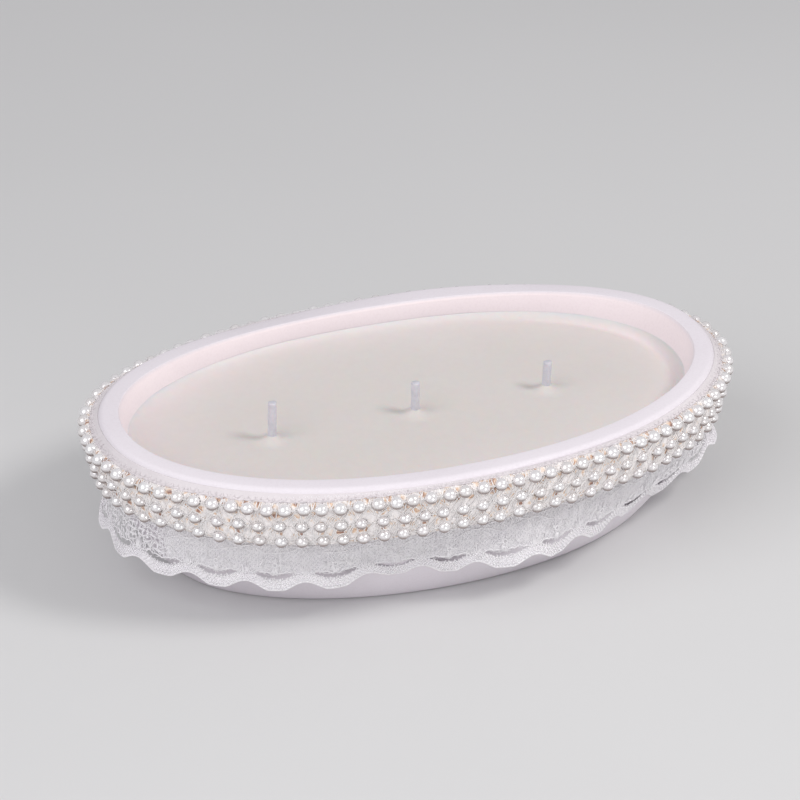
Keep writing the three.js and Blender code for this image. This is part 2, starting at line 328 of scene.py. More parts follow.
def wick_material():
    """Braided cotton soaked in wax."""
    m = Nodes("waxed_wick", Roughness=0.45, Subsurface_Weight=0.1, Subsurface_Scale=0.001)
    blotch = m.noise(500, 3)
    m.colour(m.ramp(blotch, (0.3, (0.58, 0.57, 0.62)), (0.7, (0.66, 0.65, 0.70))))
    m.rough(m.spread(blotch, 0.35, 0.55))
    m.bumps((m.noise(1800, 2), 0.00003))
    return m.material


def thread_material(name, dark, light, roughness, depth=0.00003):
    """Twisted cotton thread, with its fibres as a fine grain."""
    m = Nodes(name, Roughness=roughness, Specular_IOR_Level=0.2, Sheen_Weight=0.15, Sheen_Roughness=0.5)
    fibre, cloud = m.noise(3500, 2, 0.6), m.noise(160, 3)
    tint = m.ramp(cloud, (0.3, dark), (0.7, light))
    m.colour(m.mix(0.5, tint, m.ramp(fibre, (0.3, (0.92, 0.92, 0.92)), (0.6, (1, 1, 1))), "MULTIPLY"))
    m.bumps((fibre, depth))
    return m.material


def tulle_material():
    """Sheer white tulle, too fine to see its holes."""
    m = Nodes("sheer_tulle", Roughness=0.9, Specular_IOR_Level=0.1, Alpha=0.8)
    weave, cloud = m.noise(2200, 2, 0.6), m.noise(160, 3)
    tint = m.ramp(cloud, (0.3, (0.94, 0.92, 0.95)), (0.7, (0.98, 0.965, 0.985)))
    m.colour(m.mix(0.5, tint, m.ramp(weave, (0.3, (0.92, 0.92, 0.92)), (0.6, (1, 1, 1))), "MULTIPLY"))
    m.bumps((weave, 0.00003))
    return m.material


def pearl_material():
    """Imitation pearl: nacre lacquer over a milky bead, each a slightly different shade, with painted
    shade, warm and dark, along its lower edge, where the coat is thinned as well."""
    m = Nodes("pearl", Metallic=0.38, Roughness=0.24, Specular_IOR_Level=0.6, Coat_Weight=0.9,
              Coat_Roughness=0.05)
    each = m.node("ShaderNodeNewGeometry").outputs["Random Per Island"]
    shade = m.ramp(each, (0.0, (0.87, 0.84, 0.835)), (0.5, (0.91, 0.90, 0.91)), (1.0, (0.89, 0.86, 0.87)))
    cloud = m.noise(700, 3)
    lustre = m.mix(0.5, shade, m.ramp(cloud, (0.3, (0.93, 0.92, 0.91)), (0.7, (1, 1, 1))), "MULTIPLY")
    # Painted shade: the tone darkens each pearl's lower edge to warm brown and weakens its coat.
    m.colour(m.mix(m.tone(), lustre, (0.30, 0.235, 0.215)))
    m.link(m.spread(m.tone(), 0.9, 0.25), m.shader.inputs["Coat Weight"])
    m.rough(m.spread(cloud, 0.18, 0.30))
    m.bumps((m.noise(1500, 2), 0.00001))
    return m.material


def metal_material():
    """Tinned steel of the hidden wick tabs."""
    m = Nodes("tinned_steel", Metallic=1.0, Roughness=0.35)
    scuff = m.noise(600, 4)
    m.colour(m.ramp(scuff, (0.3, (0.50, 0.50, 0.51)), (0.7, (0.66, 0.66, 0.67))))
    m.rough(m.spread(scuff, 0.25, 0.5))
    m.bumps((scuff, 0.00003))
    return m.material


def foam_material():
    """White foam of the hidden wick stickers."""
    m = Nodes("sticker_foam", Roughness=0.85)
    cells = m.node("ShaderNodeTexVoronoi", Scale=1800.0)
    m.link(m.place, cells.inputs["Vector"])
    m.colour(m.ramp(cells.outputs["Distance"], (0.1, (0.70, 0.70, 0.68)), (0.6, (0.86, 0.86, 0.84))))
    m.bumps((cells.outputs["Distance"], 0.0001))
    return m.material


def floor_material():
    """Pale, matte studio paper."""
    m = Nodes("studio_floor", Roughness=0.7, Specular_IOR_Level=0.2)
    cloud = m.noise(3, 2)
    m.colour(m.ramp(cloud, (0.3, (0.69, 0.69, 0.69)), (0.7, (0.71, 0.71, 0.71))))
    return m.material


# ---------------------------------------------------------------- bowl
BOWL_STEPS = 360
# Height of the inside and the wall's thickness there, from the wax line down to the floor.
INSIDE_Z = np.array([50.2, 40, 30, 20, 12.5, 9.2, 8.0]) * MM
INSIDE_WALL = np.array([10.7, 11.4, 12, 13.2, 14.7, 18, 23]) * MM
RIM_ROUNDING = 2.4 * MM


def arc(steps):
    return np.linspace(0, math.pi / 2, steps)


def fold(share, centre, width):
    """A smooth bump of height 1 at a place round the rim; centre and width count in scallops."""
    away = (share - centre / SCALLOPS + 0.5) % 1 - 0.5
    return np.exp(-(away * SCALLOPS / width) ** 2)


def bowl_profile():
    """Rows of (height, offset, tone outside, tone inside) from the foot up the outside, over the
    rim and down to the floor. The inside tone counts from 0 at the rim to 1 on the wall."""
    foot, edge = 1.2 * MM, 0.5 * MM
    rows = [(foot * (1 - math.cos(t)), -foot * (1 - math.sin(t)), 0, 0) for t in arc(4)]
    straight = RIM_Z - RIM_ROUNDING - 0.4 * MM
    # Painted shade: the outside's tone falls from 0.3 to 0 towards the foot, greying the lower wall.
    rows += [(z, 0, 0.3 * min(z / straight * 1.4, 1), 0) for z in np.linspace(2 * MM, straight, 26)]
    rows += [(RIM_Z - RIM_ROUNDING * (1 - math.sin(t)), -RIM_ROUNDING * (1 - math.cos(t)), 0.3, 0)
             for t in arc(10)]
    rows += [(RIM_Z + 0.05 * MM, -0.6 * RIM_WIDTH, 0.3, 0)]
    rows += [(RIM_Z - edge * (1 - math.cos(t)), -RIM_WIDTH + edge * (1 - math.sin(t)), 0.3, t / 4)
             for t in arc(6)]
    for z in np.linspace(RIM_Z - 1.6 * MM, INSIDE_Z[0], 8):
        down = (RIM_Z - edge - z) / (RIM_Z - edge - INSIDE_Z[0])
        rows.append((z, -RIM_WIDTH - (INSIDE_WALL[0] - RIM_WIDTH) * down ** 0.9, 0.3, 0.7 + 0.3 * down))
    rows += [(z, -wall, 0.3, 1) for z, wall in zip(INSIDE_Z[1:], INSIDE_WALL[1:])]
    return np.array(rows)


def make_bowl(material):
    profile = bowl_profile()
    shares = np.arange(BOWL_STEPS) / BOWL_STEPS
    angles = angle_at(shares)
    z, offset, outside, inside = (column[:, None] for column in profile.T)
    # Painted light and shade in the tone: along the back the rim and outside are greyer and the inside wall
    # darker, and elsewhere the inside wall is lighter and pinker.
    back = 0.24 * fold(shares, 7, 4)
    tone = outside * (1 - back / 0.3) + inside * (0.3 + back + 0.4 * fold(shares, 6.4, 5))
    points = oval(angles[None], z, offset)
    near_rim = (points[..., 2] / RIM_Z) ** 2
    points[..., 2] += RIM_SADDLE * np.cos(2 * angles) * near_rim
    # The hand-cast rim tips outwards and up at the back right, and sinks a little at the back left.
    tip = 1.3 * fold(shares, 5.6, 1.6) - 0.7 * fold(shares, 8.9, 1.0)
    tip = tip + 0.12 * np.sin(6 * math.pi * shares + 0.6)
    outer_edge = np.clip((z - 0.93 * RIM_Z) / (0.05 * RIM_Z), 0, 1) * np.clip(1 + offset / RIM_WIDTH, 0, 1)
    points[..., 2] += tip * MM * outer_edge
    build = Build()
    build.add(points, grid_faces(len(profile), BOWL_STEPS), tone=tone)
    build.close(0, BOWL_STEPS, flip=True)
    build.close((len(profile) - 1) * BOWL_STEPS, BOWL_STEPS)
    bowl = build.object("bowl_cast", material)
    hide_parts("bowl")
    return bowl


# ---------------------------------------------------------------- wax
WAX_STEPS, WAX_RINGS = 400, 150


def wick_place(side):
    low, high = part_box(f"wick_{side}")
    return (low.x + high.x) / 2, (low.y + high.y) / 2, high.z, (high.x - low.x) / 2


def wax_lift(points, edge, shares):
    """What stands above the flat top: a cone up each wick inside a shallow ring, a raised edge at
    the wall, a sunk band by the right end, and slow waves. edge is the distance from the wall."""
    x, y = points[..., 0], points[..., 1]
    lift = 0.10 * MM * np.sin(x / (17 * MM) + 1) * np.sin(y / (13 * MM))
    for side in WICK_SIDES:
        cx, cy, _, radius = wick_place(side)
        away = np.hypot(x - cx, (y - cy) * 1.08)
        climb = np.clip((away - 0.8 * radius) / (6.2 * MM), 0, 1)
        lift += MOUND_HEIGHT * (1 - climb) ** 2.6 - 0.12 * MM * np.exp(-((away - 7.5 * MM) / (2.2 * MM)) ** 2)
    lift += 1.9 * MM * np.exp(-edge / (1.8 * MM))
    lift -= 1.0 * MM * fold(shares, 0.6, 3.2) * np.exp(-((edge - 4.5 * MM) / (3.0 * MM)) ** 2)
    return lift


def make_wax(material):
    shares = np.arange(WAX_STEPS) / WAX_STEPS
    wall_at_lip = INSIDE_WALL[0] - 0.6 * MM
    edge = oval(angle_at(shares), WAX_Z, -wall_at_lip)
    radii = 1 - np.linspace(0, 1, WAX_RINGS) ** 1.3 * 0.999
    top = edge[None] * np.array([1, 1, 0]) * radii[:, None, None]
    from_wall = (1 - radii[:, None]) * np.linalg.norm(edge[:, :2], axis=1)[None]
    top[..., 2] = WAX_Z + wax_lift(top, from_wall, shares[None])
    # The tone paints light: a pink glow where the wax climbs the wall, fading by the right end and the back,
    # and warm light at the left end and in the sunk band by the right end.
    faded = 0.5 * fold(shares, 0.4, 4) + 0.4 * fold(shares, 7.5, 4)
    painted_lip_glow = np.exp(-(from_wall / (4.5 * MM)) ** 1.5) * (1 - faded)[None]
    painted_lip_glow = np.maximum(painted_lip_glow, 0.4 * np.exp(-from_wall / (14 * MM)))
    painted_warm_light = 0.9 * np.exp(-from_wall / (16 * MM)) * fold(shares, 12.8, 4.0)[None]
    painted_warm_light += 0.9 * fold(shares, 0.6, 3.2)[None] * np.exp(-((from_wall - 4 * MM) / (4 * MM)) ** 2)
    low_z, low_wall = INSIDE_Z[1:] + 0.1 * MM, INSIDE_WALL[1:] + 0.1 * MM
    sides = oval(angle_at(shares)[None], low_z[::-1][:, None], -low_wall[::-1][:, None])
    tone = np.concatenate([np.ones(sides.shape[:2]), np.maximum(painted_lip_glow, painted_warm_light)])
    build = Build()
    build.add(np.concatenate([sides, top]), grid_faces(len(sides) + WAX_RINGS, WAX_STEPS), tone=tone)
    build.close((len(sides) + WAX_RINGS - 1) * WAX_STEPS, WAX_STEPS)
    build.close(0, WAX_STEPS, flip=True)
    wax = build.object("wax_poured", material)
    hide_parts("wax_fill")
    return wax


# ---------------------------------------------------------------- wicks
def make_wick(side, lean, material):
    """A flat-ended braided wick: plaits wind both ways round a core and bulge a little."""
    x, y, top, radius = wick_place(side)
    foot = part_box(f"wick_{side}")[0].z
    steps, around = 150, 40
    z = np.linspace(foot, top, steps)
    turn = np.linspace(0, 2 * math.pi, around, endpoint=False)
    twist = z[:, None] / (1.5 * MM)
    plaits = np.maximum(np.sin(4 * turn + twist), np.sin(4 * turn - twist))
    r = radius * (0.965 + 0.03 * plaits)
    r[-3:] *= np.array([0.985, 0.95, 0.86])[:, None]
    z[-3:] = top - np.array([0.35, 0.12, 0.0]) * MM
    shift = math.tan(lean) * np.clip(z - WAX_Z, 0, None)
    tilt = 0.12 * r * np.sin(turn) * (z[:, None] > top - 0.5 * MM)
    level = z[:, None] - np.abs(tilt)
    ring = np.stack([r * np.cos(turn) + x + shift[:, None], r * np.sin(turn) + y, level], -1)
    build = Build()
    build.add(ring, grid_faces(steps, around))
    build.close(0, around, flip=True)
    build.close((steps - 1) * around, around)
    wick = build.object(f"braided_wick_{side}", material)
    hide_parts(f"wick_{side}")
    return wick


# ---------------------------------------------------------------- lace ribbon
def cling(share):
    """How closely the loose lace follows the wall: 0 hangs straight down, 1 lies on the wall and
    less than 0 flares outwards."""
    drawn_in = fold(share, 19.5, 0.8) + 0.35 * fold(share, 20.5, 0.6) + fold(share, 25, 1.5)
    drawn_in += 0.5 * fold(share, 2.6, 0.9) + 0.7 * fold(share, 6.8, 1.1) + 0.4 * fold(share, 10.4, 0.8)
    flared = 0.40 * fold(share, 13.2, 0.9) + 0.30 * fold(share, 14.8, 0.7) + 0.5 * fold(share, 22, 0.45)
    flared += 0.95 * fold(share, 28, 1.0)
    return drawn_in - flared


def lace_surface(share, z, lift=0.0):
    held = tuck(np.maximum(z, LACE_FREE_Z))
    inset = held + cling(share) * (tuck(z) - held)
    return oval(angle_at(share), z, LACE_OFFSET + lift, inset)


def arch(share, width=0.35):
    """1 over the valley between two scallops, falling round to 0 where the broad tips begin."""
    across = np.abs((share * SCALLOPS + 0.5) % 1 - 0.5)
    return np.cos(np.clip(across / width, 0, 1) * math.pi / 2) ** 1.2


def hem_z(share):
    tip = np.cos(2 * math.pi * share * SCALLOPS)
    return LACE_HEM + 0.72 * SCALLOP_DEPTH * arch(share) + 0.40 * MM * (1 + tip)


def border_z(share):
    """Top of the dense border along the hem."""
    return hem_z(share) + (4.6 - 0.8 * arch(share)) * MM


def slit_z(share):
    """Top of the open slit over each scallop, dipping where the flower hangs into it."""
    across = (share * SCALLOPS) % 1 - 0.5
    bow = np.sqrt(np.clip(1 - (across / 0.36) ** 2, 0, 1))
    dip = np.exp(-(across / 0.08) ** 2)
    return border_z(share) + (2.8 * bow - 0.9 * dip * bow) * MM


def lace_tubes(build, share, z, radius, sides=3, lift=0.0, closed=False, flat=1.0):
    points = lace_surface(share, z, lift)
    build.tubes(points, outwards(points), radius, sides, closed, flat)


def open_end(share):
    """How far the net is pulled open, at the two ends of the bowl."""
    return np.clip(1.6 * (fold(share, 13.9, 2.0) + fold(share, 27.5, 1.2)) - 0.3, 0, 1)


def net_threads(build, per_scallop=24, radius=0.19 * MM):
    """Upright threads that sway to touch each neighbour in turn, as in tulle, from the slits' tops
    to the heading. Where the lace is pulled open only every third thread is left, swaying wider."""
    pitch = RIM_LENGTH / (SCALLOPS * per_scallop)
    number = np.arange(SCALLOPS * per_scallop)
    wide = open_end(number / len(number)) > 0.5
    keep = ~wide | (number % 3 == 0)
    number, wide = number[keep][:, None], wide[keep][:, None]
    starts = number / (SCALLOPS * per_scallop)
    low, high = slit_z(starts) - rng.uniform(0, 0.8, starts.shape) * MM, LACE_FREE_Z + 0.8 * MM
    free = low + np.linspace(0, 1, 40) * (high - low)
    z = np.concatenate([free, high + np.linspace(0.25, 1, 4) * (LACE_TOP - high) + 0 * low], axis=1)
    phase = z * math.pi / (np.where(wide, 1.7, 0.95) * MM) + math.pi * number
    reach = np.where(z > high, 0.1, 0.46) * np.where(wide, 3, 1)
    sway = np.sin(phase) * reach * rng.uniform(0.75, 1.15, number.shape)
    drift = np.cumsum(rng.normal(0, 0.07, z.shape), axis=1) * np.where(wide, 3, 1)
    share = starts + pitch * (sway + drift) / RIM_LENGTH
    lace_tubes(build, share, z, radius, lift=0.1 * MM * np.cos(phase), flat=0.7)


def filling_threads(build, count=9000, radius=0.095 * MM):
    """Hair-fine threads that fill the net's holes, lying in every direction."""
    share = rng.uniform(0, 1, count)
    share = share[open_end(share) < rng.uniform(0.1, 0.9, count)][:, None]
    one = share.shape
    low = slit_z(share) - 0.2 * MM
    z = low + rng.uniform(0, 1, one) * (LACE_FREE_Z - low)
    turn, t = rng.uniform(0, math.pi, one), np.linspace(-1, 1, 4)[None]
    along = share + (2.4 * np.cos(turn) * t + rng.normal(0, 0.6, one) * t ** 2) * MM / RIM_LENGTH
    rise = z + (2.4 * np.sin(turn) * t + rng.normal(0, 0.6, one) * t ** 2) * MM
    lowest = slit_z(along) - rng.uniform(0, 1.2, one) ** 1.5 * MM
    lace_tubes(build, along, np.maximum(rise, lowest), radius)


def short_stitches(build, share, low, high, radius, lift=0.2 * MM, sway=0.3 * MM, steps=3):
    """Single upright stitches from low to high at each share, swaying a little."""
    t = np.linspace(0, 1, steps)[None]
    z = low[:, None] + t * (high - low)[:, None]
    along = share[:, None] + rng.normal(0, 1, (len(share), 1)) * sway * t / RIM_LENGTH
    lace_tubes(build, along, z, radius, lift=lift)


def border_cords(build):
    """The dense border: a thin ground, five rows of knotted stitches, a corded hem, and a fringe
    of stray stitches along its upper edge."""
    steps = SCALLOPS * 20
    share = np.arange(steps) / steps
    low, high = hem_z(share), border_z(share)
    ground = low + np.linspace(0.05, 0.92, 5)[:, None] * (high - low)
    front = lace_surface(share[None], ground, 0.06 * MM)
    back = lace_surface(share[None], ground[::-1], -0.10 * MM)
    build.add(np.concatenate([front, back]), grid_faces(10, steps, wrap_rows=True))
    lace_tubes(build, share[None], low[None], 0.42 * MM, sides=5, closed=True)
    per_row = SCALLOPS * 17
    for row in range(5):
        place = (np.arange(per_row) + 0.5 * (row % 2) + rng.uniform(-0.12, 0.12, per_row)) / per_row
        rise = border_z(place) - hem_z(place)
        foot = hem_z(place) + (row + rng.uniform(0.05, 0.2, per_row)) / 5 * rise
        thick = np.repeat(rng.uniform(0.42, 0.56, per_row)[:, None] * MM, 3, axis=1)
        short_stitches(build, place, foot, foot + 0.13 * rise, thick, 0.22 * MM, 0.1 * MM)
    count = SCALLOPS * 22
    place = (np.arange(count) + rng.uniform(-0.4, 0.4, count)) / count
    reach = rng.uniform(0.2, 0.8, count) * MM
    reach += 2.6 * MM * arch(place, 0.2) ** 2 * rng.uniform(0.4, 1, count)
    foot, tip = border_z(place) - 0.5 * MM, border_z(place) + reach
    short_stitches(build, place, foot, tip, 0.19 * MM, 0.15 * MM, 0.5 * MM)


def spray(build, centre_share, centre_z, turn, reach, start, fan, threads, radius):
    """A leaf or petal of satin stitches that fan out from one point."""
    spread = np.linspace(-fan, fan, threads)
    heading = turn[:, None] + spread[None] + rng.normal(0, 0.05, (len(turn), threads))
    length = reach * np.cos(spread * math.pi / (2 * fan) * 0.75) * rng.uniform(0.8, 1.1, (len(turn), threads))
    t = np.linspace(0, 1, 4)
    far = start + (length - start)[..., None] * t
    share = centre_share[:, None, None] + far * np.sin(heading)[..., None] / RIM_LENGTH
    z = centre_z[:, None, None] + far * np.cos(heading)[..., None]
    taper = radius * np.array([0.7, 1.0, 1.0, 0.6])
    lace_tubes(build, share.reshape(-1, 4), z.reshape(-1, 4), taper, lift=0.24 * MM)


def motifs(build):
    """A flower over each scallop with stitches hanging into the slit, a sheaf over each valley,
    leaves between them, and a wandering vine above."""
    middle = (np.arange(SCALLOPS) + 0.5) / SCALLOPS
    middle = middle[open_end(middle) < 0.5]
    flower_z = slit_z(middle) + 4.3 * MM
    for petal in range(6):
        turn = np.full(len(middle), petal * math.pi / 3 + math.pi / 6) + rng.normal(0, 0.12, len(middle))
        spray(build, middle, flower_z, turn, 4.1 * MM, 1.0 * MM, 0.42, 6, 0.16 * MM)
    ring = np.linspace(0, 2 * math.pi, 9)[:-1]
    share = middle[:, None] + 0.9 * MM * np.sin(ring)[None] / RIM_LENGTH
    z = flower_z[:, None] + 0.9 * MM * np.cos(ring)[None]
    lace_tubes(build, share, z, 0.3 * MM, closed=True, lift=0.25 * MM)
    down = np.full(len(middle), math.pi)
    spray(build, middle, slit_z(middle) + 2.6 * MM, down, 3.2 * MM, 0.3 * MM, 1.0, 9, 0.2 * MM)
    valley = np.arange(SCALLOPS) / SCALLOPS
    up = np.zeros(SCALLOPS)
    spray(build, valley, border_z(valley) - 1.2 * MM, up, 6.4 * MM, 0.4 * MM, 0.62, 9, 0.18 * MM)
    for hand in (-1, 1):
        share = valley + hand * 0.23 / SCALLOPS
        slant = np.full(SCALLOPS, hand * 0.55)
        spray(build, share, border_z(share) + 3.0 * MM, slant, 5.4 * MM, 0.2 * MM, 0.34, 6, 0.15 * MM)
    steps = SCALLOPS * 16
    share = np.arange(steps) / steps
    for height, swing, phase in ((32.5, 1.4, 0.0), (35.0, 1.0, math.pi)):
        z = height * MM + swing * MM * np.cos(2 * math.pi * share * SCALLOPS + phase)
        z += 0.4 * MM * np.sin(2 * math.pi * share * 61)
        lace_tubes(build, share[None], z[None], 0.20 * MM, closed=True, lift=0.15 * MM)
    ragged = 0.3 * np.sin(2 * math.pi * share * 173) + 0.25 * np.sin(2 * math.pi * share * 241)
    z = slit_z(share) + (0.3 + ragged) * MM
    lace_tubes(build, share[None], z[None], 0.26 * MM, closed=True, lift=0.1 * MM)


def tulle_holes(share, z):
    """True where the tulle is torn into open cells, at the two ends where it is pulled open."""
    along = share * RIM_LENGTH / MM
    z = z / MM
    cells = np.sin(1.5 * along + 1.3 * np.sin(0.48 * z)) * np.sin(1.37 * z + 1.1 * np.sin(0.37 * along))
    return (np.abs(cells) > HOLE_SIZE) & (open_end(share) > 0.5) & (z < LACE_FREE_Z / MM)


BORDER_ROWS, NET_ROWS = 4, 44


def tulle(build, steps=SCALLOPS * 40):
    """The ribbon's ground cloth, as cut: from the scalloped hem to the top edge, with the open
    slits left out. It is two bands, one thread thick, that meet over each valley."""
    share = (np.arange(steps) / steps)[None]
    border = hem_z(share) + np.linspace(0, 1, BORDER_ROWS)[:, None] * (border_z(share) - hem_z(share))
    build.add(lace_surface(share, border, TULLE_LIFT), grid_faces(BORDER_ROWS, steps))
    net = slit_z(share) + np.linspace(0, 1, NET_ROWS)[:, None] * (LACE_TOP - slit_z(share))
    whole = ~tulle_holes(share + 0.5 / steps, (net[:-1] + net[1:]) / 2)
    build.add(lace_surface(share, net, TULLE_LIFT), grid_faces(NET_ROWS, steps)[whole.ravel()])


def make_lace(material, sheer):
    ground, net, filling, border, flowers = Build(), Build(), Build(), Build(), Build()
    tulle(ground)
    net_threads(net)
    filling_threads(filling)
    border_cords(border)
    motifs(flowers)
    ground = ground.object("lace_tulle", sheer)
    net = net.object("lace_net", material)
    filling = filling.object("lace_filling", material)
    border = border.object("lace_border", material)
    flowers = flowers.object("lace_flowers", material)
    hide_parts("lace_ribbon")


# ---------------------------------------------------------------- the pearl tape's path
def band(share, z, out):
    """A point of the band of pearls: at height z and out from the wall where it was glued level.
    By hand it dips and rises a little, and stands up and away at the two ends."""
    share, z, out = np.broadcast_arrays(share, z, out)
    height = (z - TAPE_LOW.z) / (TAPE_HIGH.z - TAPE_LOW.z)
    rise = 0.9 * fold(share, 23.2, 2.2) - 0.9 * fold(share, 18.0, 1.2)
    rise = rise + 1.3 * (1 - height) * fold(share, 15.9, 0.6)
    loose = (fold(share, 12.7, 1.7) + fold(share, 27.9, 1.6)) * height * np.clip(out / (3 * MM), 0, 1)
    z = z + (rise * np.clip(out / MM, 0, 1) + loose * 1.6) * MM
    return oval(angle_at(share), z, out + loose * 1.6 * MM)


def band_tubes(build, share, z, out, radius, sides=3, closed=False, tone=0.0):
    points = band(share, z, out)
    build.tubes(points, outwards(points), radius, sides, closed, tone=tone)


PEARL_RADII = {"top": 2.5 * MM, "middle": 2.3 * MM, "bottom": 2.35 * MM}


def row_height(row):
    low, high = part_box(f"pearl_strand_{row}")
    return (low.z + high.z) / 2


def row_out(row):
    return TAPE_OFFSET + 0.45 * MM + PEARL_RADII[row]


def unit_sphere(around=22, up=14):
    turn = np.linspace(0, 2 * math.pi, around, endpoint=False)
    tilt = np.linspace(0, math.pi, up + 2)[1:-1]
    rings = np.stack([
        np.outer(np.sin(tilt), np.cos(turn)), np.outer(np.sin(tilt), np.sin(turn)),
        np.repeat(np.cos(tilt)[:, None], around, 1)], axis=-1)
    points = np.concatenate([rings.reshape(-1, 3), [[0, 0, 1], [0, 0, -1]]])
    faces = [q[::-1] for q in grid_faces(up, around)]
    first, last = up * around, up * around + 1
    j = np.arange(around)
    faces += list(np.stack([np.full(around, first), j, (j + 1) % around], 1))
    base = (up - 1) * around
    faces += list(np.stack([np.full(around, last), base + (j + 1) % around, base + j], 1))
    return points, faces


def place_pearls(row, count):
    """Share, height and stand-off of each pearl of a row, a little uneven as strung by hand."""
    share = (np.arange(count) + rng.normal(0, 0.045, count)) / count
    z = row_height(row) + rng.normal(0, 0.16 * MM, count)
    return share, z, row_out(row) + rng.normal(0, 0.08 * MM, count)


PEARL_PLACES = {row: place_pearls(row, count) for row, count in PEARL_ROWS}


def make_pearls(row, material):
    sphere, faces = unit_sphere()
    build = Build()
    for place in band(*PEARL_PLACES[row]):
        size = PEARL_RADII[row] * rng.uniform(0.96, 1.01)
        squash = np.array([1, 1, rng.uniform(0.96, 1.0)])
        # Painted shade: the tone darkens the underside of each pearl.
        under = np.clip((0.02 - sphere[:, 2]) / 0.36, 0, 1)
        build.add(place + sphere * squash * size, faces, tone=0.9 * under)
    pearls = build.object(f"pearls_{row}", material)
    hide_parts(f"pearl_strand_{row}")
    return pearls


GROUND_RISE = 2.6 * MM
GROUND_TOP = TAPE_HIGH.z - 1.0 * MM      # the heading covers the tape above this


def ground_out(share, z):
    """How far out the tape's cushioned ground stands: it swells between the pearls and dips
    behind each one, close enough to touch it."""
    share, z = np.broadcast_arrays(share, z)
    out = np.full(share.shape, TAPE_OFFSET + GROUND_RISE)
    for row, count in PEARL_ROWS:
        places, heights, stand_off = PEARL_PLACES[row]
        nearest = np.round(share * count).astype(int) % count
        along = ((share - places[nearest] + 0.5) % 1 - 0.5) * RIM_LENGTH
        away = np.hypot(along, z - heights[nearest])
        radius = 0.92 * PEARL_RADII[row]
        bowl = stand_off[nearest] - np.sqrt(np.clip(radius ** 2 - away ** 2, 0, None))
        out = np.where(away < radius, np.minimum(out, bowl), out)
    middle = (TAPE_LOW.z + GROUND_TOP) / 2
    edge = np.minimum(np.abs(z - middle) / (GROUND_TOP - middle), 1)
    limit = TAPE_OFFSET + GROUND_RISE * np.sqrt(np.clip(1 - edge ** 10, 0, 1))
    return np.minimum(out, limit)


def make_tape(material):
    """The tape's cushioned ground, and cords along its edges."""
    build = Build()
    low, steps = TAPE_LOW.z, 1500
    share = np.arange(steps)[None] / steps
    heights = np.linspace(low + 0.4 * MM, GROUND_TOP, 26)[:, None]
    front = band(share, heights, ground_out(share, heights))
    back = band(share, heights[::-5], TAPE_OFFSET - 0.30 * MM)
    # Painted shade in the tone: peach and reddish in the crevices above and below the gaps of the top row,
    # and where the middle and bottom pearls meet.
    by_top = np.exp(-((heights - row_height("top") + 2.4 * MM) / (1.0 * MM)) ** 2)
    by_top += np.exp(-((heights - row_height("top") - 1.2 * MM) / (0.8 * MM)) ** 2)
    gaps = 0.5 - 0.5 * np.cos(2 * math.pi * share * PEARL_ROWS[0][1])
    between = np.exp(-((heights - (row_height("middle") + row_height("bottom")) / 2) / (0.8 * MM)) ** 2)
    below = (0.5 + 0.5 * np.cos(2 * math.pi * share * PEARL_ROWS[1][1])) ** 4
    tone = np.concatenate([0.6 * by_top * gaps + 1.1 * between * below, 0 * back[..., 0]])
    build.add(np.concatenate([front, back]), grid_faces(26 + len(back), steps, wrap_rows=True), tone=tone)
    share = np.arange(480)[None] / 480
    for z in (low, low + 0.9 * MM):
        band_tubes(build, share, z, TAPE_OFFSET, 0.34 * MM, sides=4, closed=True, tone=0.6)
    tape = build.object("pearl_tape_ground", material)
    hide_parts("pearl_tape")
    return tape


HEADING_REACH = 2.0 * MM


def heading_z(share, out):
    """The heading leaves the wall just under the rim's rounding and falls away to the top row."""
    fall = np.clip(out / HEADING_REACH, 0, 1.5) ** 0.9
    start = RIM_Z + RIM_SADDLE * np.cos(2 * angle_at(share)) - 1.5 * MM
    return start + (TAPE_HIGH.z - 1.0 * MM - start) * fall


def make_heading(material):
    """The soft upper edge of the trim: a narrow woven ledge from the rim out to the top row, with
    a fine rib and small flat loops along its outer edge."""
    build = Build()
    steps = 900
    share = np.arange(steps) / steps
    across = np.linspace(0, 1, 9)[:, None]
    edge = 2.1 + 0.12 * np.sin(2 * math.pi * share * 173) + 0.15 * np.sin(2 * math.pi * share * 61 + 1)
    edge = edge + 0.8 * (fold(share, 12.7, 1.7) + fold(share, 27.9, 1.6))
    out = (-0.2 + across * (edge + 0.2)) * MM
    ribs = 0.06 * np.sin(2 * math.pi * share * 225) * np.sin(math.pi * across)
    ribs = ribs + 0.06 * np.sin(5 * math.pi * across)
    z = heading_z(share, out) + ribs * MM
    top, bottom = band(share, z, out), band(share, z - 0.9 * MM, out - 0.3 * across * MM)
    build.add(np.concatenate([top[::-1], bottom]), grid_faces(18, steps, wrap_rows=True))
    t = np.linspace(0, math.pi, 7)[None]
    for reach, wide, count in ((1.5, 1.1, 300), (0.9, 1.3, 260)):
        centre = (np.arange(count)[:, None] + rng.uniform(-0.3, 0.3, (count, 1))) / count
        tall = rng.uniform(0.7, 1.3, (count, 1))
        along = centre + wide * tall * MM * np.cos(t) / RIM_LENGTH
        out = (reach + 0.9 * tall * np.sin(t)) * MM
        band_tubes(build, along, heading_z(along, out) + 0.03 * MM, out, 0.13 * MM)
    heading = build.object("trim_heading", material)
    return heading


